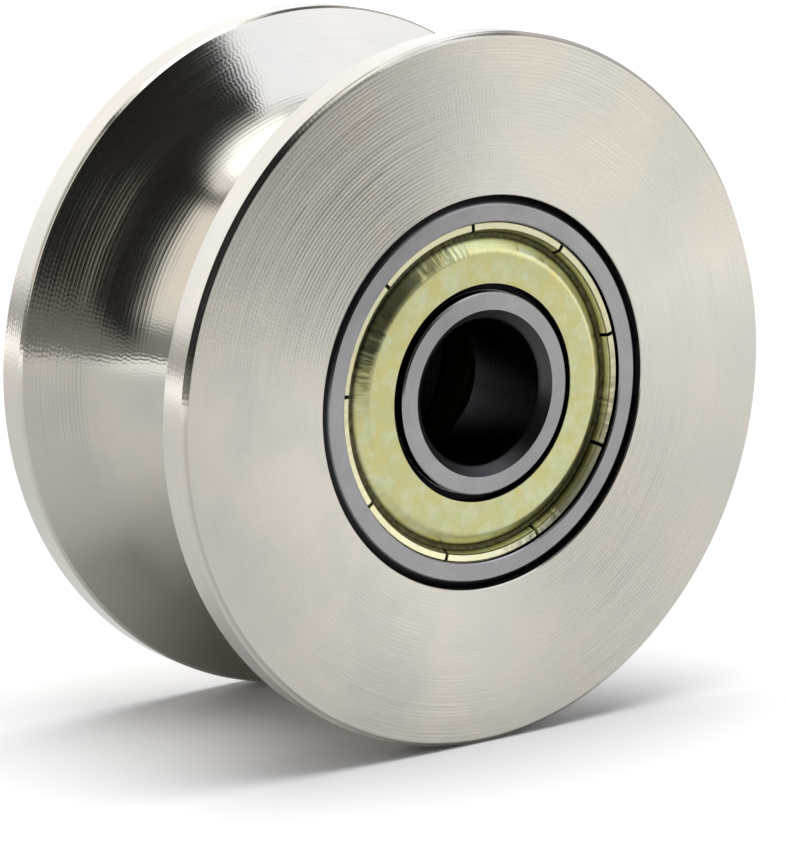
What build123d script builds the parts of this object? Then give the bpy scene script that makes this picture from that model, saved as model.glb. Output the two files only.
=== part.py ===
from build123d import *
import os
from math import cos, radians, sin, sqrt, tan

# U-groove pulley wheel: one turned steel wheel with a shielded ball bearing pressed into each face.
# All sizes are millimetres. The wheel turns about Y, its front face looks along -Y, and +Z is up.

# Wheel
wheel_diameter = 58.0
wheel_width = 27.0
rim_chamfer = 0.4
rim_band = 2.6
groove_side_angle = 25.0
groove_edge_break = 0.2
tread_wall = 3.25
seat_chamfer = 0.08
seat_clearance = 0.01
face_recess = 0.15
middle_bore_clearance = 0.2

# Bearing rings
bearing_bore = 12.0
bearing_diameter = 32.0
bearing_width = 10.0
ring_outer_chamfer = 0.72
ring_bore_chamfer = 0.8
outer_edge_break = 0.1
inner_edge_break = 0.12
outer_land_wall = 2.13
inner_land_wall = 2.25
race_depth = 1.1
race_conformity = 1.04
lip_groove_depth = 0.35
lip_groove_top = 0.5

# Balls and the cage that spaces them
ball_diameter = 5.953
ball_count = 7
ball_play = 0.01
cage_sheet = 0.5
cage_side_clearance = 0.65
pocket_clearance = 0.08
rivet_diameter = 1.0
rivet_head_diameter = 1.7
rivet_head_height = 0.35
rivet_clearance = 0.02

# Pressed shields
shield_sheet = 0.3
shield_recess = 0.26
shield_gap = 0.62
shield_step_clearance = 0.4
shoulder_width = 1.1
shoulder_radius = 0.9
valley_depth = 0.8
valley_width = 0.3
valley_radius = 0.14
lip_recess = 0.36
lip_lean = 0.37
lip_width = 0.55
lip_bend_radius = 0.1
lip_gap = 0.07
toe_clearance = 0.1
ring_clearance = 0.12
slit_count = 9
slit_width = 0.3
slit_angle = 35.5

# Angle that the rear bearing's balls and slits are turned on from the front bearing's
rear_turn = 20.0

# Values that follow from the sizes above
wheel_radius = wheel_diameter / 2
half_width = wheel_width / 2
ring_radius = bearing_diameter / 2
bore_radius = bearing_bore / 2
half_bearing = bearing_width / 2
seat_radius = ring_radius + seat_clearance
bearing_offset = half_width - face_recess - half_bearing
middle_half_width = bearing_offset - half_bearing
pitch_radius = (ring_radius + bore_radius) / 2
ball_radius = ball_diameter / 2
race_radius = race_conformity * ball_radius
inner_race_bottom = pitch_radius - ball_radius - ball_play
outer_race_bottom = pitch_radius + ball_radius + ball_play
inner_shoulder = inner_race_bottom + race_depth
outer_shoulder = outer_race_bottom - race_depth
mouth_radius = ring_radius - outer_land_wall
land_radius = bore_radius + inner_land_wall
land_depth = shield_recess + shield_sheet + shield_step_clearance
lip_groove_radius = mouth_radius + lip_groove_depth
lip_groove_bottom = shield_recess + valley_depth + shield_sheet + ring_clearance


def turned(outline):
    """Solid of revolution about Y from a closed outline drawn as (radius, height) points and arcs."""
    return revolve(make_face(outline), Axis.Y)


def other_side(points):
    """The same outline points on the far side of the middle plane, in the order that closes an outline."""
    return [(radius, -height) for radius, height in reversed(points)]


def around(piece, count, start=0.0):
    """Copies of a piece at equal angles about Y, the first turned by the start angle."""
    return [Rot(0, start + index * 360 / count, 0) * piece for index in range(count)]


def groove_outline():
    """Right half of the rope groove: flared straight wall, then a round bottom that meets it smoothly."""
    angle = radians(groove_side_angle)
    root = seat_radius + tread_wall
    mouth = half_width - rim_chamfer - rim_band
    straight = mouth - (wheel_radius - root) * tan(angle)
    bottom_radius = straight / (cos(angle) - (1 - sin(angle)) * tan(angle))
    tangent = (root + bottom_radius * (1 - sin(angle)), bottom_radius * cos(angle))
    edge = (wheel_radius - groove_edge_break, mouth - groove_edge_break * tan(angle))
    corner = (wheel_radius, mouth + groove_edge_break)
    return root, bottom_radius, tangent, edge, corner


def pulley_wheel():
    """Wheel turned in one piece: rope groove outside, a bearing seat in each face, a rib between them."""
    root, bottom_radius, tangent, edge, corner = groove_outline()
    outside = [
        (seat_radius + seat_chamfer, half_width),
        (wheel_radius - rim_chamfer, half_width),
        (wheel_radius, half_width - rim_chamfer),
        corner,
        edge,
        tangent,
    ]
    middle_bore = mouth_radius + middle_bore_clearance
    inside = [
        (middle_bore, middle_half_width),
        (seat_radius, middle_half_width),
        (seat_radius, half_width - seat_chamfer),
        (seat_radius + seat_chamfer, half_width),
    ]
    outline = Curve() + [
        Polyline(*outside),
        ThreePointArc(tangent, (root, 0), (tangent[0], -tangent[1])),
        Polyline(*other_side(outside)),
        Polyline(*other_side(inside), *inside),
    ]
    return turned(outline)


def race_arc(bottom, shoulder, outward):
    """Ball groove of a ring, from the inboard shoulder over the bottom to the outboard one."""
    centre = bottom - outward * race_radius
    half = sqrt(race_radius**2 - (shoulder - centre) ** 2)
    return half, ThreePointArc((shoulder, -half), (bottom, 0), (shoulder, half))


def inner_ring():
    """Inner ring: chamfered bore, ball groove, and a lower land under each shield."""
    half, race = race_arc(inner_race_bottom, inner_shoulder, -1)
    side = [
        (inner_shoulder, half),
        (inner_shoulder, half_bearing - land_depth),
        (land_radius, half_bearing - land_depth),
        (land_radius, half_bearing - inner_edge_break),
        (land_radius - inner_edge_break, half_bearing),
        (bore_radius + ring_bore_chamfer, half_bearing),
        (bore_radius, half_bearing - ring_bore_chamfer),
    ]
    return turned(Curve() + [race, Polyline(*side, *other_side(side))])


def outer_ring():
    """Outer ring: chamfered outside, ball groove, and a groove in each mouth that holds the shield's lip."""
    half, race = race_arc(outer_race_bottom, outer_shoulder, 1)
    side = [
        (outer_shoulder, half),
        (outer_shoulder, half_bearing - lip_groove_bottom),
        (lip_groove_radius, half_bearing - lip_groove_bottom),
        (lip_groove_radius, half_bearing - lip_groove_top),
        (mouth_radius, half_bearing - lip_groove_top),
        (mouth_radius, half_bearing - outer_edge_break),
        (mouth_radius + outer_edge_break, half_bearing),
        (ring_radius - ring_outer_chamfer, half_bearing),
        (ring_radius, half_bearing - ring_outer_chamfer),
    ]
    return turned(Curve() + [race, Polyline(*side, *other_side(side))])


def balls():
    """Balls on the pitch circle, in order from the top, each with its poles on the line it turns about."""
    return around(Pos(0, 0, pitch_radius) * Sphere(ball_radius, rotation=(90, 0, 0)), ball_count)


def cage_half():
    """Ribbon pressed from sheet: half a cup over each ball, flat riveted lands between."""
    pocket = ball_radius + pocket_clearance
    inside = inner_shoulder + cage_side_clearance
    outside = outer_shoulder - cage_side_clearance
    cups = around(Pos(0, 0, pitch_radius) * Sphere(pocket + cage_sheet), ball_count)
    hollows = around(Pos(0, 0, pitch_radius) * Sphere(pocket), ball_count)
    band = [(inside, 0), (outside, 0), (outside, half_bearing), (inside, half_bearing)]
    flat = [(inside, 0), (outside, 0), (outside, cage_sheet), (inside, cage_sheet)]
    ribbon = turned(Polyline(*flat, close=True)) + cups
    ribbon = ribbon & turned(Polyline(*band, close=True))
    hole = Cylinder(rivet_diameter / 2 + rivet_clearance, 4 * cage_sheet, rotation=(90, 0, 0))
    holes = around(Pos(0, 0, pitch_radius) * hole, ball_count, 180 / ball_count)
    return ribbon - hollows - holes


def cage_rivets():
    """Rivets through both ribbons, one between each two balls, with a low head at each end."""
    grip = cage_sheet + rivet_clearance
    side = [
        (rivet_diameter / 2, grip),
        (rivet_head_diameter / 2, grip),
        (rivet_diameter / 2, grip + rivet_head_height),
        (0, grip + rivet_head_height),
    ]
    rivet = turned(Polyline(*side, *other_side(side), close=True))
    return around(Pos(0, 0, pitch_radius) * rivet, ball_count, 180 / ball_count)


def shield():
    """Pressed shield: flat ring, sloping shoulder, valley, and a slit hem whose toe hooks into the outer ring."""
    inner_edge = land_radius + shield_gap
    hem_outside = mouth_radius - lip_gap
    hem_inside = hem_outside - lip_width
    valley_end = hem_inside - lip_lean
    valley_start = valley_end - valley_width
    shoulder_start = valley_start - shoulder_width
    toe_end = lip_groove_radius - toe_clearance
    face = half_bearing - shield_recess
    valley = face - valley_depth
    hem_top = half_bearing - lip_recess
    toe_top = half_bearing - lip_groove_top - toe_clearance
    outer_side = FilletPolyline(
        (inner_edge, face),
        (shoulder_start, face),
        (valley_start, valley),
        (valley_end, valley),
        (hem_inside, hem_top),
        (hem_outside, hem_top),
        (hem_outside, toe_top),
        (toe_end, toe_top),
        radius=[shoulder_radius, valley_radius, valley_radius] + [lip_bend_radius] * 3,
    )
    inner_side = Polyline(
        (toe_end, toe_top),
        (toe_end, toe_top - shield_sheet),
        (hem_inside, toe_top - shield_sheet),
        (valley_end, valley - shield_sheet),
        (valley_start, valley - shield_sheet),
        (shoulder_start, face - shield_sheet),
        (inner_edge, face - shield_sheet),
        (inner_edge, face),
    )
    disc = turned(Curve() + [outer_side, inner_side])
    slit_top = hem_top + shield_sheet
    slit_bottom = valley - 2 * shield_sheet
    slit_end = toe_end + shield_sheet
    slit = Box(slit_width, slit_top - slit_bottom, slit_end - valley_end)
    place = Pos(0, (slit_top + slit_bottom) / 2, (slit_end + valley_end) / 2)
    return disc - around(place * slit, slit_count, slit_angle)


def bearing(name):
    """One bearing about the origin with its outboard side along +Y: node names and their solids."""
    cage, face = cage_half(), shield()
    pieces = {
        f"{name}_outer_ring": outer_ring(),
        f"{name}_inner_ring": inner_ring(),
        f"{name}_cage_outboard": cage,
        f"{name}_cage_inboard": mirror(cage, Plane.XZ),
        f"{name}_cage_rivets": Compound(children=cage_rivets()),
        f"{name}_shield_outboard": face,
        f"{name}_shield_inboard": mirror(face, Plane.XZ),
    }
    for index, ball in enumerate(balls(), start=1):
        pieces[f"{name}_ball_{index}"] = ball
    return pieces


def build():
    """Every node of the pulley, in place."""
    nodes = {"pulley_wheel": pulley_wheel()}
    for node, piece in bearing("front").items():
        nodes[node] = Pos(0, -bearing_offset, 0) * mirror(piece, Plane.XZ)
    for node, piece in bearing("rear").items():
        nodes[node] = Pos(0, bearing_offset, 0) * Rot(0, rear_turn, 0) * piece
    return nodes


os.makedirs("parts", exist_ok=True)
for node_name, solid in build().items():
    export_step(solid, f"parts/{node_name}.step")
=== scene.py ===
from math import acos, atan2, cos, pi, radians, sin, sqrt, tan
from types import SimpleNamespace

import bpy
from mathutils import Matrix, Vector


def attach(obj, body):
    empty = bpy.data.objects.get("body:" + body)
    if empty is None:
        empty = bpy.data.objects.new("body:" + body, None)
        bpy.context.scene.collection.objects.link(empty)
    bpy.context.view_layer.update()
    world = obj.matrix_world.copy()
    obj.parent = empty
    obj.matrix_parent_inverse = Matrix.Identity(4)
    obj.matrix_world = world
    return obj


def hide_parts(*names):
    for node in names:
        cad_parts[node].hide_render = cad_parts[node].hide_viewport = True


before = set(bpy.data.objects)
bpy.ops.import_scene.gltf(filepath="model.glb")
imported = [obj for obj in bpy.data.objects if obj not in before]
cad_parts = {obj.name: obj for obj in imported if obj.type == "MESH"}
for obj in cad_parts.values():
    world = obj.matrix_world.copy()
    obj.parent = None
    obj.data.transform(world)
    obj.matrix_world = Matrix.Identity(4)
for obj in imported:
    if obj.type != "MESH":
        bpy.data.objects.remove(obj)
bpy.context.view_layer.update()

# Sizes in millimetres, as the solids have them; Blender's unit is the metre
MM = 0.001
wheel_radius = 29.0
half_width = 13.5
rim_chamfer = 0.4
rim_band = 2.6
groove_side = radians(25)
groove_edge_break = 0.2
groove_bottom_radius = 9.352
seat_radius = 16.01
seat_chamfer = 0.08
middle_bore_radius = 14.07
middle_half_width = 3.35
bearing_offset = 8.35
half_bearing = 5.0
ring_radius = 16.0
bore_radius = 6.0
ring_outer_chamfer = 0.72
ring_bore_chamfer = 0.8
outer_edge_break = 0.1
inner_edge_break = 0.12
mouth_radius = 13.87
land_radius = 8.25
land_depth = 0.96
lip_groove_radius = 14.22
lip_groove_top = 0.5
lip_groove_bottom = 1.48
pitch_radius = 11.0
ball_radius = 2.9765
ball_play = 0.01
race_depth = 1.1
race_radius = 1.04 * ball_radius
shield_sheet = 0.3
shield_recess = 0.26
shield_gap = 0.62
shoulder_width = 1.1
shoulder_radius = 0.9
valley_depth = 0.8
valley_width = 0.3
valley_radius = 0.14
lip_recess = 0.36
lip_lean = 0.37
lip_width = 0.55
lip_bend_radius = 0.1
lip_gap = 0.07
toe_clearance = 0.1
slit_count = 9
slit_angle = radians(35.5)
rear_turn = radians(20)

# Small fillets on edges that the solids leave sharp
seat_fillet = 0.03
rim_fillet = 0.05
groove_fillet = 0.04
mouth_fillet = 0.03
inner_face_fillet = 0.06
ring_fillet = 0.08
shield_fillet = 0.06

# Fineness of the meshes: columns round the axle, degrees to a step of a fillet, steps of half a race;
# lengths under the tiny one count as none
wheel_columns = 360
shield_columns = 540
slit_columns_wide = 2
fillet_step = 15
shoulder_step = 4
groove_step = 2
race_steps = 7
tiny = 1e-6

# Shield's radii from the outside inward; its slits run from the hem to the end of the valley
hem_outside = mouth_radius - lip_gap
hem_inside = hem_outside - lip_width
valley_end = hem_inside - lip_lean
valley_start = valley_end - valley_width
shoulder_start = valley_start - shoulder_width
shield_bore = land_radius + shield_gap


# Shapes

def unit(way):
    length = sqrt(way[0] ** 2 + way[1] ** 2)
    return (way[0] / length, way[1] / length)


def corner_arc(before, here, after, radius, step):
    """Points and outward directions of the fillet in one corner, and which way it bends."""
    back = unit((before[0] - here[0], before[1] - here[1]))
    on = unit((after[0] - here[0], after[1] - here[1]))
    half = acos(max(-1, min(1, back[0] * on[0] + back[1] * on[1]))) / 2
    reach = radius / tan(half)
    middle = unit((back[0] + on[0], back[1] + on[1]))
    centre = (here[0] + middle[0] * radius / sin(half), here[1] + middle[1] * radius / sin(half))
    first = (here[0] + back[0] * reach, here[1] + back[1] * reach)
    last = (here[0] + on[0] * reach, here[1] + on[1] * reach)
    start = atan2(first[1] - centre[1], first[0] - centre[0])
    sweep = (atan2(last[1] - centre[1], last[0] - centre[0]) - start + pi) % (2 * pi) - pi
    steps = max(3, int(abs(sweep) / radians(step)))
    points = []
    for index in range(steps + 1):
        angle = start + sweep * index / steps
        out = (cos(angle), sin(angle))
        points.append(((centre[0] + out[0] * radius, centre[1] + out[1] * radius), out))
    return points, 1 if sweep > 0 else -1


def filleted(corners):
    """Closed outline of (radius, height, fillet) corners as edges with end normals, and its sense.

    A corner may have a fourth value: the degrees to a step of its fillet.
    """
    count = len(corners)
    turning = sum(a[0] * b[1] - b[0] * a[1] for a, b in zip(corners, corners[1:] + corners[:1]))
    side = 1 if turning > 0 else -1
    arcs = []
    for index, here in enumerate(corners):
        if here[2] > 0:
            step = here[3] if len(here) > 3 else fillet_step
            arcs.append(corner_arc(corners[index - 1], here, corners[(index + 1) % count], here[2], step))
        else:
            arcs.append(([(here[:2], None)], 1))
    edges = []
    for index in range(count):
        points, bend = arcs[index]
        for (start, out), (end, out_end) in zip(points, points[1:]):
            sign = side * bend
            edges.append((start, end, (out[0] * sign, out[1] * sign), (out_end[0] * sign, out_end[1] * sign)))
        start, end = points[-1][0], arcs[(index + 1) % count][0][0][0]
        if abs(start[0] - end[0]) + abs(start[1] - end[1]) > tiny:
            run = unit((end[0] - start[0], end[1] - start[1]))
            out = (run[1] * side, -run[0] * side)
            edges.append((start, end, out, out))
    return edges, side


def lathe(name, corners, centre=0.0, flip=1, columns=wheel_columns, start_angle=0.0, slits=()):
    """Closed mesh of revolution about Y with exact normals and the way along its outline stored in mm.

    In the columns listed as slits, the outline beyond the shield's valley is left out and the cut closed.
    """
    edges, side = filleted(corners)
    count = len(edges)
    angles = [start_angle + 2 * pi * column / columns for column in range(columns)]
    verts, along, travelled = [], [], 0.0
    for start, end, _, _ in edges:
        radius, height = start[0] * MM, (centre + flip * start[1]) * MM
        verts += [(radius * sin(angle), height, radius * cos(angle)) for angle in angles]
        along += [travelled] * columns
        travelled += sqrt((end[0] - start[0]) ** 2 + (end[1] - start[1]) ** 2)
    faces, normals = [], []

    def strip(low, high, first, last, column):
        """Face between two rows in one column, with the outline's normal at each of them."""
        beyond = (column + 1) % columns
        ring = [(low, column, first), (low, beyond, first), (high, beyond, last), (high, column, last)]
        if side * flip < 0:
            ring.reverse()
        faces.append([row * columns + step for row, step, _ in ring])
        for _, step, out in ring:
            normals.append((out[0] * sin(angles[step]), flip * out[1], out[0] * cos(angles[step])))

    lip = []
    if slits:
        lip = [row for row, edge in enumerate(edges) if min(edge[0][0], edge[1][0]) > valley_end - tiny]
    for index, (_, _, first, last) in enumerate(edges):
        for column in range(columns):
            if index not in lip or column not in slits:
                strip(index, (index + 1) % count, first, last, column)
    for column in slits:
        strip(lip[0], lip[-1] + 1, (1, 0), (1, 0), column)
        for edge_column, sense in ((column, 1), (column + 1, -1)):
            if (edge_column - 1 if sense > 0 else edge_column) % columns in slits:
                continue
            wall = [row * columns + edge_column % columns for row in range(lip[0], lip[-1] + 2)]
            if side * flip * sense > 0:
                wall.reverse()
            angle = angles[edge_column % columns]
            faces.append(wall)
            normals.extend([(sense * cos(angle), 0, -sense * sin(angle))] * len(wall))
    mesh = bpy.data.meshes.new(name)
    mesh.from_pydata(verts, [], faces)
    mesh.update()
    mesh.polygons.foreach_set("use_smooth", [True] * len(faces))
    mesh.attributes.new("along", "FLOAT", "POINT").data.foreach_set("value", along)
    mesh.normals_split_custom_set(normals)
    piece = bpy.data.objects.new(name, mesh)
    bpy.context.scene.collection.objects.link(piece)
    return piece


def other_side(corners):
    """The same corners beyond the middle plane, in the order that closes an outline."""
    return [(corner[0], -corner[1], *corner[2:]) for corner in reversed(corners)]


def wheel_outline():
    """Wheel from the middle bore over seat, face, rim and groove wall; the groove's bottom is one fillet."""
    mouth = half_width - rim_chamfer - rim_band
    side = [
        (middle_bore_radius, middle_half_width, 0),
        (seat_radius, middle_half_width, 0),
        (seat_radius, half_width - seat_chamfer, seat_fillet),
        (seat_radius + seat_chamfer, half_width, seat_fillet),
        (wheel_radius - rim_chamfer, half_width, rim_fillet),
        (wheel_radius, half_width - rim_chamfer, rim_fillet),
        (wheel_radius, mouth + groove_edge_break, groove_fillet),
        (wheel_radius - groove_edge_break, mouth - groove_edge_break * tan(groove_side), groove_fillet),
    ]
    walls_meet = (wheel_radius - mouth / tan(groove_side), 0, groove_bottom_radius, groove_step)
    return side + [walls_meet] + other_side(side)


def race(bottom, shoulder, outward):
    """Half of a ring's ball groove as outline points, from its bottom to its shoulder."""
    centre = bottom - outward * race_radius
    reach = acos((shoulder - centre) * outward / race_radius)
    points = []
    for step in range(race_steps):
        angle = reach * (step + 0.5) / (race_steps - 0.5)
        points.append((centre + outward * race_radius * cos(angle), race_radius * sin(angle), 0))
    return points


def inner_ring_outline():
    bottom = pitch_radius - ball_radius - ball_play
    shoulder = bottom + race_depth
    side = race(bottom, shoulder, -1) + [
        (shoulder, half_bearing - land_depth, 0),
        (land_radius, half_bearing - land_depth, 0),
        (land_radius, half_bearing - inner_edge_break, inner_face_fillet),
        (land_radius - inner_edge_break, half_bearing, inner_face_fillet),
        (bore_radius + ring_bore_chamfer, half_bearing, inner_face_fillet),
        (bore_radius, half_bearing - ring_bore_chamfer, ring_fillet),
    ]
    return side + other_side(side)


def outer_ring_outline():
    bottom = pitch_radius + ball_radius + ball_play
    shoulder = bottom - race_depth
    side = race(bottom, shoulder, 1) + [
        (shoulder, half_bearing - lip_groove_bottom, 0),
        (lip_groove_radius, half_bearing - lip_groove_bottom, 0),
        (lip_groove_radius, half_bearing - lip_groove_top, 0),
        (mouth_radius, half_bearing - lip_groove_top, 0),
        (mouth_radius, half_bearing - outer_edge_break, mouth_fillet),
        (mouth_radius + outer_edge_break, half_bearing, mouth_fillet),
        (ring_radius - ring_outer_chamfer, half_bearing, ring_fillet),
        (ring_radius, half_bearing - ring_outer_chamfer, ring_fillet),
    ]
    return side + other_side(side)


def shield_outline():
    """Pressed shield from its bore over the shoulder and valley to the hem, its toe, and back underneath."""
    face = half_bearing - shield_recess
    valley = face - valley_depth
    hem_top = half_bearing - lip_recess
    toe_end = lip_groove_radius - toe_clearance
    toe_top = half_bearing - lip_groove_top - toe_clearance
    return [
        (shield_bore, face, shield_fillet),
        (shoulder_start, face, shoulder_radius, shoulder_step),
        (valley_start, valley, valley_radius),
        (valley_end, valley, valley_radius),
        (hem_inside, hem_top, lip_bend_radius),
        (hem_outside, hem_top, lip_bend_radius),
        (hem_outside, toe_top, lip_bend_radius),
        (toe_end, toe_top, 0),
        (toe_end, toe_top - shield_sheet, 0),
        (hem_inside, toe_top - shield_sheet, 0),
        (valley_end, valley - shield_sheet, 0),
        (valley_start, valley - shield_sheet, 0),
        (shoulder_start, face - shield_sheet, 0),
        (shield_bore, face - shield_sheet, 0),
    ]


# Nodes

def add(tree, kind, inputs=(), **settings):
    """New node with its settings; each input is linked if a socket is given and set if a value is."""
    item = tree.nodes.new(kind)
    for name, value in settings.items():
        setattr(item, name, value)
    for socket, value in dict(inputs).items():
        if isinstance(value, bpy.types.NodeSocket):
            tree.links.new(value, item.inputs[socket])
        else:
            item.inputs[socket].default_value = value
    return item


def calc(tree, operation, *values):
    return add(tree, "ShaderNodeMath", enumerate(values), operation=operation).outputs[0]


def product(tree, first, *others):
    """Product of two or more numbers."""
    for other in others:
        first = calc(tree, "MULTIPLY", first, other)
    return first


def centred(tree, value):
    """A value from 0 to 1 as one that swings about 0."""
    return calc(tree, "SUBTRACT", value, 0.5)


def vector(tree, operation, *values):
    return add(tree, "ShaderNodeVectorMath", enumerate(values), operation=operation).outputs[0]


def vector_number(tree, operation, *values):
    """Number that a vector operation gives, such as a length."""
    return add(tree, "ShaderNodeVectorMath", enumerate(values), operation=operation).outputs["Value"]


def scaled(tree, value, factor):
    """A vector times a number."""
    return add(tree, "ShaderNodeVectorMath", {0: value, "Scale": factor}, operation="SCALE").outputs[0]


def on_axis(tree, axis, value):
    """Vector with the value on one axis and 0 on the others."""
    return add(tree, "ShaderNodeCombineXYZ", {axis: value}).outputs[0]


def smooth(tree, value, low, high, to_low=0.0, to_high=1.0):
    """A value that goes smoothly from to_low at low to to_high at high."""
    inputs = {"Value": value, "From Min": low, "From Max": high, "To Min": to_low, "To Max": to_high}
    return add(tree, "ShaderNodeMapRange", inputs, interpolation_type="SMOOTHSTEP").outputs[0]


def band(tree, value, start, full, fade, end):
    """1 between full and fade, 0 before start and after end, and smooth between."""
    return product(tree, smooth(tree, value, start, full), smooth(tree, value, fade, end, 1.0, 0.0))


def noise(tree, place, scale, detail=2.0, roughness=0.5):
    inputs = {"Vector": place, "Scale": scale, "Detail": detail, "Roughness": roughness}
    return add(tree, "ShaderNodeTexNoise", inputs).outputs[0]


def mix(tree, amount, one, two):
    """Colour between two others."""
    item = add(tree, "ShaderNodeMix", {0: amount}, data_type="RGBA")
    for socket, value in ((item.inputs[6], one), (item.inputs[7], two)):
        if isinstance(value, bpy.types.NodeSocket):
            tree.links.new(value, socket)
        else:
            socket.default_value = (*value, 1)
    return item.outputs[2]


def new_material(name):
    material = bpy.data.materials.new(name)
    material.use_nodes = True
    tree = material.node_tree
    return material, tree, tree.nodes["Principled BSDF"]


def set_inputs(tree, shader, values):
    """Sets or links the named sockets of a Principled shader."""
    for name, value in values.items():
        if isinstance(value, bpy.types.NodeSocket):
            tree.links.new(value, shader.inputs[name])
        else:
            shader.inputs[name].default_value = value


def place_in_mm(tree):
    return scaled(tree, add(tree, "ShaderNodeTexCoord").outputs["Object"], 1 / MM)


def along_outline(tree):
    """Way along the piece's outline in mm, as the lathe stored it."""
    return add(tree, "ShaderNodeAttribute", attribute_name="along").outputs["Fac"]


def round_axle(tree, place):
    """Direction away from the axle as a unit vector, and the distance from it."""
    flat = vector(tree, "MULTIPLY", place, (1, 0, 1))
    return vector(tree, "NORMALIZE", flat), vector_number(tree, "LENGTH", flat)


def axle_tangent(tree):
    """Tangent that runs round the axle."""
    return add(tree, "ShaderNodeTangent", direction_type="RADIAL", axis="Y").outputs[0]


def surface_normal(tree):
    return add(tree, "ShaderNodeNewGeometry").outputs["Normal"]


def tilted(tree, tangent, across, sideways):
    """Surface normal leant by small slopes: across the marks that run round the axle, and along them."""
    normal = surface_normal(tree)
    beside = vector(tree, "CROSS_PRODUCT", normal, tangent)
    leant = vector(tree, "ADD", normal, scaled(tree, beside, across))
    leant = vector(tree, "ADD", leant, scaled(tree, tangent, sideways))
    return vector(tree, "NORMALIZE", leant)


def ray_kinds(tree):
    """1 for a ray straight from the camera, and 1 for that or a reflected or transmitted one; else 0."""
    path = add(tree, "ShaderNodeLightPath")
    direct = path.outputs["Is Camera Ray"]
    seen = calc(tree, "MAXIMUM", direct, path.outputs["Is Glossy Ray"])
    return direct, calc(tree, "MAXIMUM", seen, path.outputs["Is Transmission Ray"])


# Turned metals

def turned_surface(tree, colours, pitch, depth, cloud, roughness):
    """What both turned metals share: feed marks and grain as slopes, tint in clouds and marks, roughness."""
    place = place_in_mm(tree)
    direction, radius = round_axle(tree, place)
    along = along_outline(tree)
    rows = on_axis(tree, "X", calc(tree, "MULTIPLY", along, 3.1))
    drift = noise(tree, vector(tree, "ADD", scaled(tree, direction, 0.8), rows), 1.7, 1.0)
    phase = calc(tree, "ADD", calc(tree, "MULTIPLY", along, 1 / pitch), calc(tree, "MULTIPLY", drift, 0.8))
    feed = product(tree, centred(tree, calc(tree, "FRACT", phase)), 2.0, depth)
    fine_rows = on_axis(tree, "Y", calc(tree, "MULTIPLY", along, 14.0))
    fine = noise(tree, vector(tree, "ADD", scaled(tree, direction, 1.5), fine_rows), 1.0, 3.0, 0.7)
    uneven = centred(tree, fine)
    normal = add(tree, "ShaderNodeSeparateXYZ", {0: surface_normal(tree)})
    facing = calc(tree, "ABSOLUTE", normal.outputs["Y"])
    flat = smooth(tree, facing, 0.95, 0.99)
    strength = smooth(tree, noise(tree, place, 0.12), 0.35, 0.65, 0.5, 1.3)
    across = calc(tree, "ADD", feed, calc(tree, "MULTIPLY", uneven, 1.2 * depth))
    across = product(tree, across, strength, smooth(tree, flat, 0.0, 1.0, 1.0, 1.15))
    sideways = product(tree, centred(tree, noise(tree, place, 4.0, 3.0)), 0.3 * depth)
    patch = smooth(tree, noise(tree, place, cloud, 3.0, 0.6), 0.3, 0.7)
    tint = mix(tree, patch, colours[0], colours[1])
    tint = mix(tree, calc(tree, "MULTIPLY", calc(tree, "ABSOLUTE", uneven), 0.9), tint, colours[2])
    rough = calc(tree, "ADD", roughness, calc(tree, "MULTIPLY", uneven, 0.12))
    return SimpleNamespace(
        place=place, direction=direction, radius=radius, along=along, rows=rows, facing=facing, flat=flat,
        patch=patch, across=across, sideways=sideways, tint=tint, rough=rough)


def chatter(tree, surface, slope):
    """Slope along the marks from the tool's shudder: a ripple round the axle that shifts from row to row."""
    axes = add(tree, "ShaderNodeSeparateXYZ", {0: surface.direction})
    angle = calc(tree, "ARCTAN2", axes.outputs["X"], axes.outputs["Z"])
    row = calc(tree, "FLOOR", calc(tree, "MULTIPLY", surface.along, 0.6))
    wander = noise(tree, vector(tree, "ADD", scaled(tree, surface.direction, 6.0), surface.rows), 0.6)
    beat = calc(tree, "ADD", calc(tree, "MULTIPLY", angle, 400.0), calc(tree, "MULTIPLY", wander, 14.0))
    ripple = calc(tree, "SINE", calc(tree, "ADD", beat, calc(tree, "MULTIPLY", row, 2.2)))
    patches = smooth(tree, noise(tree, surface.place, 0.10), 0.35, 0.62, 0.35, 1.0)
    return product(tree, ripple, patches, slope)


def finish_turned(tree, shader, surface, stretch):
    """Puts a turned surface into its shader, with its shine stretched across the marks."""
    tangent = axle_tangent(tree)
    set_inputs(tree, shader, {
        "Base Color": surface.tint,
        "Metallic": 1.0,
        "Roughness": surface.rough,
        "Anisotropic": stretch,
        "Anisotropic Rotation": 0.25,
        "Tangent": tangent,
        "Normal": tilted(tree, tangent, surface.across, surface.sideways),
    })


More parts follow.
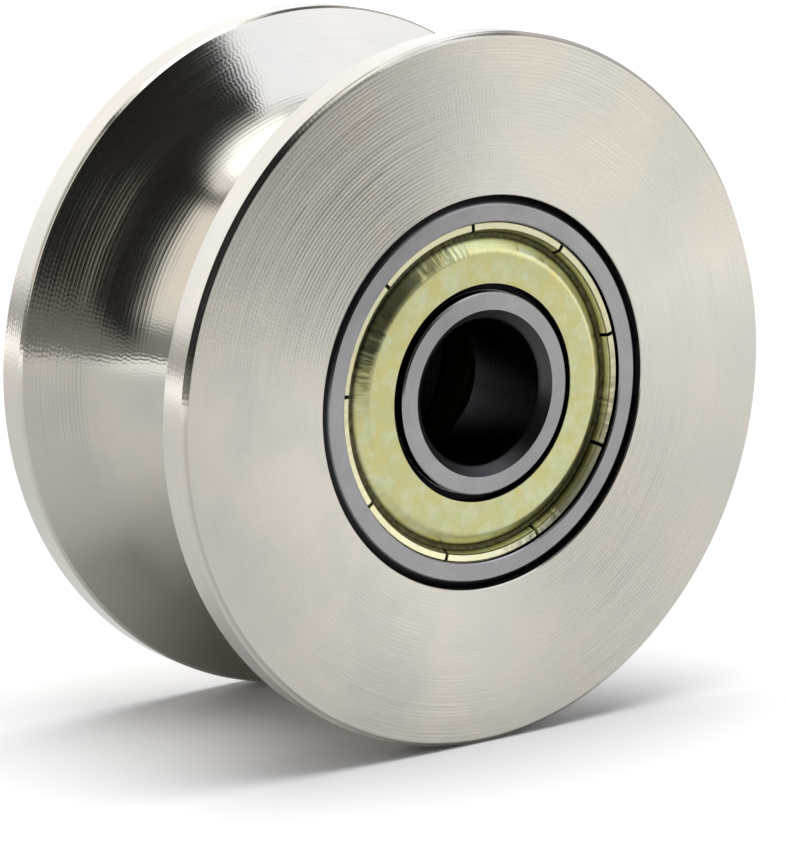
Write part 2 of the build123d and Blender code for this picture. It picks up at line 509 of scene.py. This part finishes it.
def wheel_steel():
    """Bare steel with coarse feed marks and chatter, darker toward the lower left, with painted shade in the
    groove.
    """
    darker_side, darker_side_colour, groove_shade_colour = (-0.85, 0, -0.53), (0.14, 0.14, 0.15), (0.05, 0.045, 0.035)
    material, tree, shader = new_material("turned_steel")
    colours = ((0.59, 0.55, 0.485), (0.53, 0.525, 0.475), (0.42, 0.40, 0.34))
    surface = turned_surface(tree, colours, pitch=0.325, depth=0.07, cloud=0.09, roughness=0.16)
    surface.sideways = calc(tree, "ADD", surface.sideways, chatter(tree, surface, 0.014))
    surface.rough = calc(tree, "ADD", surface.rough, calc(tree, "MULTIPLY", surface.flat, 0.1))
    # Mixed toward dark grey on the side toward minus X and minus Z, the lower left, with a cloudy edge
    toward = vector_number(tree, "DOT_PRODUCT", surface.place, darker_side)
    darkening = calc(tree, "ADD", toward, calc(tree, "MULTIPLY", surface.patch, 5.0))
    surface.tint = mix(tree, smooth(tree, darkening, 13.0, 30.0, 0.0, 0.28), surface.tint, darker_side_colour)
    # Painted shade: surfaces below the rim that don't face along the axle, mainly the groove, are mixed a
    # fifth toward near black
    below_rim = smooth(tree, surface.radius, wheel_radius - 0.3, wheel_radius - 0.1, 1.0, 0.0)
    groove_shade = product(tree, below_rim, calc(tree, "SUBTRACT", 1.0, surface.flat), 0.2)
    surface.tint = mix(tree, groove_shade, surface.tint, groove_shade_colour)
    finish_turned(tree, shader, surface, 0.90)
    return material


def bearing_steel():
    """Ground ring steel; chamfers dark with heat scale and painted shade, the bore painted dark as shade, and
    walls beside the shields dark with oil and painted shade.
    """
    shade_and_scale_colour, oil_and_shade_colour = (0.03, 0.03, 0.033), (0.006, 0.006, 0.007)
    material, tree, shader = new_material("ring_steel")
    colours = ((0.31, 0.305, 0.31), (0.275, 0.275, 0.28), (0.18, 0.18, 0.185))
    surface = turned_surface(tree, colours, pitch=0.05, depth=0.02, cloud=0.3, roughness=0.26)
    radius = surface.radius
    # Dark chamfers at the bore and the outside: partly heat scale, partly painted shade of the narrow gaps
    # they face
    bore_zone = smooth(tree, radius, 7.0, 7.3, 0.92, 0.0)
    outside_zone = smooth(tree, radius, 15.25, 15.5)
    slanting = band(tree, surface.facing, 0.15, 0.3, 0.85, 0.97)
    unground = product(tree, slanting, calc(tree, "ADD", bore_zone, outside_zone))
    surface.tint = mix(tree, unground, surface.tint, shade_and_scale_colour)
    # Walls and ledges between the land and the mouth are mixed to near black: partly oil, partly painted
    # shade in the gap beside the shields
    wall = smooth(tree, surface.facing, 0.15, 0.3, 1.0, 0.0)
    walls = product(tree, wall, band(tree, radius, 7.5, 7.7, 14.4, 14.6))
    beside_land = (land_radius + 0.02, land_radius + 0.08)
    beside_mouth = (mouth_radius - 0.07, mouth_radius - 0.01)
    gap = band(tree, radius, *beside_land, *beside_mouth)
    surface.tint = mix(tree, calc(tree, "MAXIMUM", walls, gap), surface.tint, oil_and_shade_colour)
    # Painted shade: the bore is mixed nine tenths toward near black
    bore_shade = smooth(tree, radius, bore_radius + 0.05, bore_radius + 0.2, 0.9, 0.0)
    surface.tint = mix(tree, bore_shade, surface.tint, shade_and_scale_colour)
    surface.rough = calc(tree, "ADD", surface.rough, calc(tree, "MULTIPLY", unground, 0.12))
    finish_turned(tree, shader, surface, 0.6)
    set_inputs(tree, shader, {"Specular Tint": (0.3, 0.3, 0.3, 1)})
    return material


# Pressed and plain metals

def zinc_plate():
    """Yellow passivated zinc on pressed sheet: mottled, faint orange peel, drawing streaks on the slopes.

    Along the outline the shoulder starts at 2.3 mm, the valley at 3.9, the hem's side at 4.3, its top at 5.0.
    """
    material, tree, shader = new_material("shield_zinc")
    place = place_in_mm(tree)
    direction, _ = round_axle(tree, place)
    along = along_outline(tree)
    rows = on_axis(tree, "Y", calc(tree, "MULTIPLY", along, 0.5))
    streak = noise(tree, vector(tree, "ADD", scaled(tree, direction, 45.0), rows), 1.0, 3.0, 0.6)
    peel = noise(tree, place, 2.5, 3.0, 0.6)
    blotch = smooth(tree, noise(tree, place, 0.45, 3.0, 0.55), 0.35, 0.65)
    tint = mix(tree, blotch, (0.475, 0.485, 0.245), (0.52, 0.48, 0.205))
    tint = mix(tree, smooth(tree, noise(tree, place, 0.8, 4.0, 0.6), 0.4, 0.75), tint, (0.53, 0.55, 0.36))
    # Painted highlight: the hem, from halfway up its side onward, is mixed toward pale cream
    tint = mix(tree, smooth(tree, along, 4.6, 4.9, 0.0, 0.7), tint, (0.64, 0.62, 0.44))
    # The valley is mixed toward near black: partly dirt, partly painted shade in the crease
    valley_dirt_and_shade = band(tree, along, 3.5, 3.95, 4.3, 4.6)
    valley_dirt_and_shade = product(tree, valley_dirt_and_shade, smooth(tree, peel, 0.3, 0.7, 0.9, 1.0))
    tint = mix(tree, valley_dirt_and_shade, tint, (0.04, 0.035, 0.015))
    height = add(tree, "ShaderNodeSeparateXYZ", {0: place}).outputs["Y"]
    # Painted shade: the inboard shields, deep between the bearings, are mixed toward near black
    inboard_shade = smooth(tree, calc(tree, "ABSOLUTE", height), 7.0, 8.0, 0.75, 0.0)
    tint = mix(tree, inboard_shade, tint, (0.03, 0.03, 0.025))
    slope = smooth(tree, along, 2.2, 2.9, 0.1, 1.0)
    sideways = product(tree, centred(tree, streak), slope, 0.5)
    hem_lean = smooth(tree, along, 4.85, 4.95, 0.0, -0.36)
    across = calc(tree, "MULTIPLY", centred(tree, peel), 0.12)
    across = calc(tree, "ADD", across, product(tree, hem_lean, calc(tree, "SIGN", height)))
    set_inputs(tree, shader, {
        "Base Color": tint,
        "Metallic": 1.0,
        "Roughness": smooth(tree, streak, 0.3, 0.7, 0.28, 0.38),
        "Normal": tilted(tree, axle_tangent(tree), across, sideways),
    })
    return material


def plain_metal(name, colour, roughness, mark):
    """Bright metal for the pieces inside: faint cloudy tint and polishing marks."""
    material, tree, shader = new_material(name)
    place = place_in_mm(tree)
    cloud = noise(tree, place, 0.9, 3.0)
    darker = [part * 0.82 for part in colour]
    marks = {"Strength": mark, "Distance": 0.02 * MM, "Height": noise(tree, place, 12.0, 4.0, 0.7)}
    set_inputs(tree, shader, {
        "Base Color": mix(tree, smooth(tree, cloud, 0.3, 0.7), colour, darker),
        "Metallic": 1.0,
        "Roughness": smooth(tree, cloud, 0.2, 0.8, roughness, roughness + 0.08),
        "Normal": add(tree, "ShaderNodeBump", marks).outputs[0],
    })
    return material


turned_steel = wheel_steel()
ring_steel = bearing_steel()
shield_zinc = zinc_plate()
ball_steel = plain_metal("ball_steel", (0.80, 0.80, 0.82), roughness=0.06, mark=0.05)
cage_steel = plain_metal("cage_steel", (0.52, 0.50, 0.47), roughness=0.3, mark=0.4)


# Pieces

def place_piece(piece, node, body, material):
    """The piece stands for a CAD node, rides on its body and has that slot's material."""
    piece.data.materials.append(material)
    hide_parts(node)
    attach(piece, body)


def slit_columns():
    """Columns of the shield's mesh that its slits take, when the first slit takes the first columns."""
    pitch = shield_columns // slit_count
    return {index * pitch + beside for index in range(slit_count) for beside in range(slit_columns_wide)}


place_piece(lathe("wheel_turned", wheel_outline()), "pulley_wheel", "wheel", turned_steel)
half_slit = pi * slit_columns_wide / shield_columns
for bearing, flip in (("front", -1), ("rear", 1)):
    centre = flip * bearing_offset
    outer = lathe(f"{bearing}_ring_outer", outer_ring_outline(), centre, flip)
    inner = lathe(f"{bearing}_ring_inner", inner_ring_outline(), centre, flip)
    start = slit_angle - half_slit + (rear_turn if flip > 0 else 0)
    shield = lathe(
        f"{bearing}_shield_pressed", shield_outline(), centre, flip, shield_columns, start, slit_columns())
    place_piece(outer, f"{bearing}_outer_ring", "wheel", ring_steel)
    place_piece(inner, f"{bearing}_inner_ring", "inner_rings", ring_steel)
    place_piece(shield, f"{bearing}_shield_outboard", "wheel", shield_zinc)

inside = {"_ball_": ball_steel, "_cage_": cage_steel, "_shield_inboard": shield_zinc}
for node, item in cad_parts.items():
    for part, material in inside.items():
        if part in node:
            item.data.materials.clear()
            item.data.materials.append(material)


# Floor, in metres

def white_floor(left, right, front, back, glow_start, glow_full):
    """Matt floor under the wheel that glows white to the eye from glow_start to glow_full away."""
    corners = [(left, front), (right, front), (right, back), (left, back)]
    mesh = bpy.data.meshes.new("floor")
    mesh.from_pydata([(x, y, -wheel_radius * MM) for x, y in corners], [], [(0, 1, 2, 3)])
    material, tree, shader = new_material("floor")
    matt = {"Base Color": (0.85, 0.85, 0.85, 1), "Roughness": 0.9, "Specular IOR Level": 0.0}
    set_inputs(tree, shader, matt)
    _, seen = ray_kinds(tree)
    away = vector_number(tree, "LENGTH", add(tree, "ShaderNodeTexCoord").outputs["Object"])
    strength = product(tree, seen, smooth(tree, away, glow_start, glow_full))
    glow = add(tree, "ShaderNodeEmission", {"Strength": strength})
    both = add(tree, "ShaderNodeAddShader", {0: shader.outputs[0], 1: glow.outputs[0]})
    tree.links.new(both.outputs[0], tree.nodes["Material Output"].inputs["Surface"])
    mesh.materials.append(material)
    floor = bpy.data.objects.new("floor", mesh)
    bpy.context.scene.collection.objects.link(floor)
    return floor


floor = white_floor(-1.5, 1.5, -0.26, 2.5, glow_start=0.16, glow_full=0.5)


# Surroundings

base_colour = (0.80, 0.78, 0.80)
# Each box: azimuths from the front to the right, elevations, softness of its edges, all in degrees; colour
boxes = (
    ((-88, 95, -30, 9, 3), (0.05, 0.05, 0.05)),
    ((-66, 24, -40, 0, 2), (0.25, 0.25, 0.25)),
    ((-138, -70, -10, 12, 4), (0.45, 0.45, 0.44)),
    ((-200, 200, 46, 66, 4), (0.15, 0.15, 0.15)),
    ((-72, 24, -1, 62, 3), (0.02, 0.02, 0.02)),
    ((-100, 24, -6, 3, 4), (0.35, 0.34, 0.32)),
    ((-138, -75, 12, 60, 5), (1.5, 1.45, 1.38)),
    ((-200, -138, 6, 47, 4), (1.6, 1.6, 1.65)),
    ((135, 200, 6, 47, 4), (1.6, 1.6, 1.65)),
    ((35, 75, -5, 20, 4), (1.75, 1.70, 1.62)),
    ((23, 75, 16, 64, 3), (1.95, 2.0, 2.2)),
    ((-200, 200, 66, 100, 3), (1.5, 1.5, 1.5)),
    ((-200, 200, 74, 100, 3), (3.0, 3.0, 3.0)),
)
diffuse_strength = 0.55


def studio():
    """World of soft boxes and dark gaps by direction, each over the ones before; the camera sees white."""
    world = bpy.data.worlds.new("studio")
    world.use_nodes = True
    tree = world.node_tree
    axes = add(tree, "ShaderNodeSeparateXYZ", {0: add(tree, "ShaderNodeTexCoord").outputs["Generated"]})
    azimuth = calc(tree, "ARCTAN2", axes.outputs["X"], calc(tree, "MULTIPLY", axes.outputs["Y"], -1.0))
    azimuth = calc(tree, "MULTIPLY", azimuth, 180 / pi)
    elevation = calc(tree, "MULTIPLY", calc(tree, "ARCSINE", axes.outputs["Z"]), 180 / pi)
    sky = base_colour
    for (left, right, low, high, soft), colour in boxes:
        columns = band(tree, azimuth, left - soft, left + soft, right - soft, right + soft)
        levels = band(tree, elevation, low - soft, low + soft, high - soft, high + soft)
        sky = mix(tree, product(tree, columns, levels), sky, colour)
    direct, seen = ray_kinds(tree)
    strength = smooth(tree, seen, 0.0, 1.0, diffuse_strength, 1.0)
    tree.links.new(mix(tree, direct, sky, (1, 1, 1)), tree.nodes["Background"].inputs["Color"])
    tree.links.new(strength, tree.nodes["Background"].inputs["Strength"])
    return world


bpy.context.scene.world = studio()

# Lamp over the wheel that throws the soft shadow, in metres and watts

lamp_data = bpy.data.lights.new("overhead", "AREA")
lamp_data.shape = "RECTANGLE"
lamp_data.size, lamp_data.size_y = 0.8, 1.3
lamp_data.energy = 13.5
lamp = bpy.data.objects.new("overhead", lamp_data)
lamp.location = (0.08, 0.0, 1.1)
lamp.visible_glossy = False
lamp.rotation_euler = Vector(lamp.location).to_track_quat("Z", "Y").to_euler()
bpy.context.scene.collection.objects.link(lamp)

# Camera, from the circles that show in the photo; pixels count from the picture's top left corner

picture_width, picture_height = 786, 850
face_centre_right, face_centre_down = 487.01, 394.13
elevation, azimuth = radians(12.10), radians(-36.24)
focal_pixels, distance = 3858.9, 10.641 * wheel_radius * MM
sensor = 36
camera_data = bpy.data.cameras.new("camera")
camera_data.lens = focal_pixels * sensor / picture_height
camera_data.clip_start = 0.01
camera = bpy.data.objects.new("camera", camera_data)
camera.rotation_euler = (pi / 2 - elevation, 0, azimuth)
right = (face_centre_right - picture_width / 2) / focal_pixels
up = (picture_height / 2 - face_centre_down) / focal_pixels
face_centre = Vector((0, -half_width * MM, 0))
camera.location = face_centre - camera.rotation_euler.to_matrix() @ Vector((right, up, -1)) * distance
bpy.context.scene.collection.objects.link(camera)
bpy.context.scene.camera = camera
bpy.context.scene.view_settings.view_transform = "Standard"
